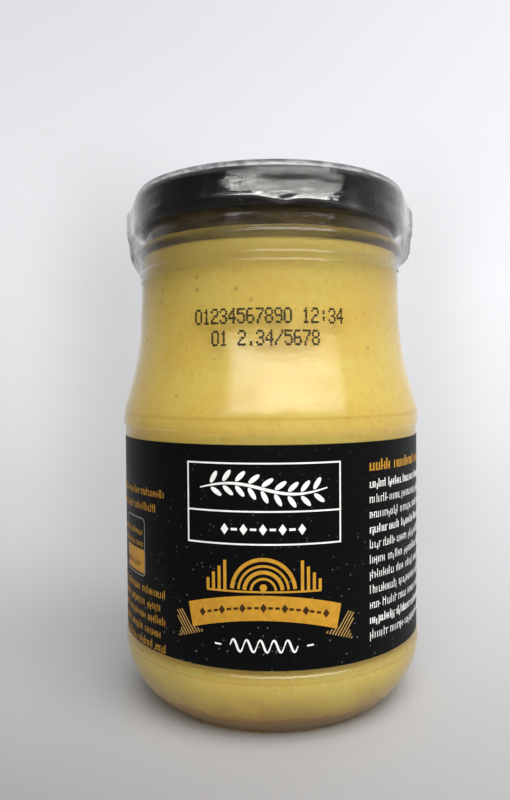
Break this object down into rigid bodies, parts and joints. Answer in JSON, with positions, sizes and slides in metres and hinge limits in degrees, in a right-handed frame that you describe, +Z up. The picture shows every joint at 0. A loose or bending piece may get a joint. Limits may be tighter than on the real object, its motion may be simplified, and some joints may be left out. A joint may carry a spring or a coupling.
{
  "type": "mustard jar",
  "caption": "Closed glass jar of smooth yellow mustard with a black twist-off lid, a clear seal film and a black wrap label.",
  "frame": {"origin": "on the jar's axis, at the surface the foot ring stands on", "axes": "+Z up along the jar's axis; the label's front panel faces -Y, so +X is to the right of it"},
  "size_m": [0.0724, 0.0724, 0.1221],
  "materials": {
    "glass": "clear, polished",
    "mustard": "smooth, slightly moist",
    "lid": "gloss black lacquer",
    "film": "clear shrink film, creased",
    "label": "satin black print"
  },
  "bodies": {
    "root": {"jar": "glass", "mustard": "mustard", "lid": "lid", "film": "film", "label": "label"}
  },
  "joints": []
}
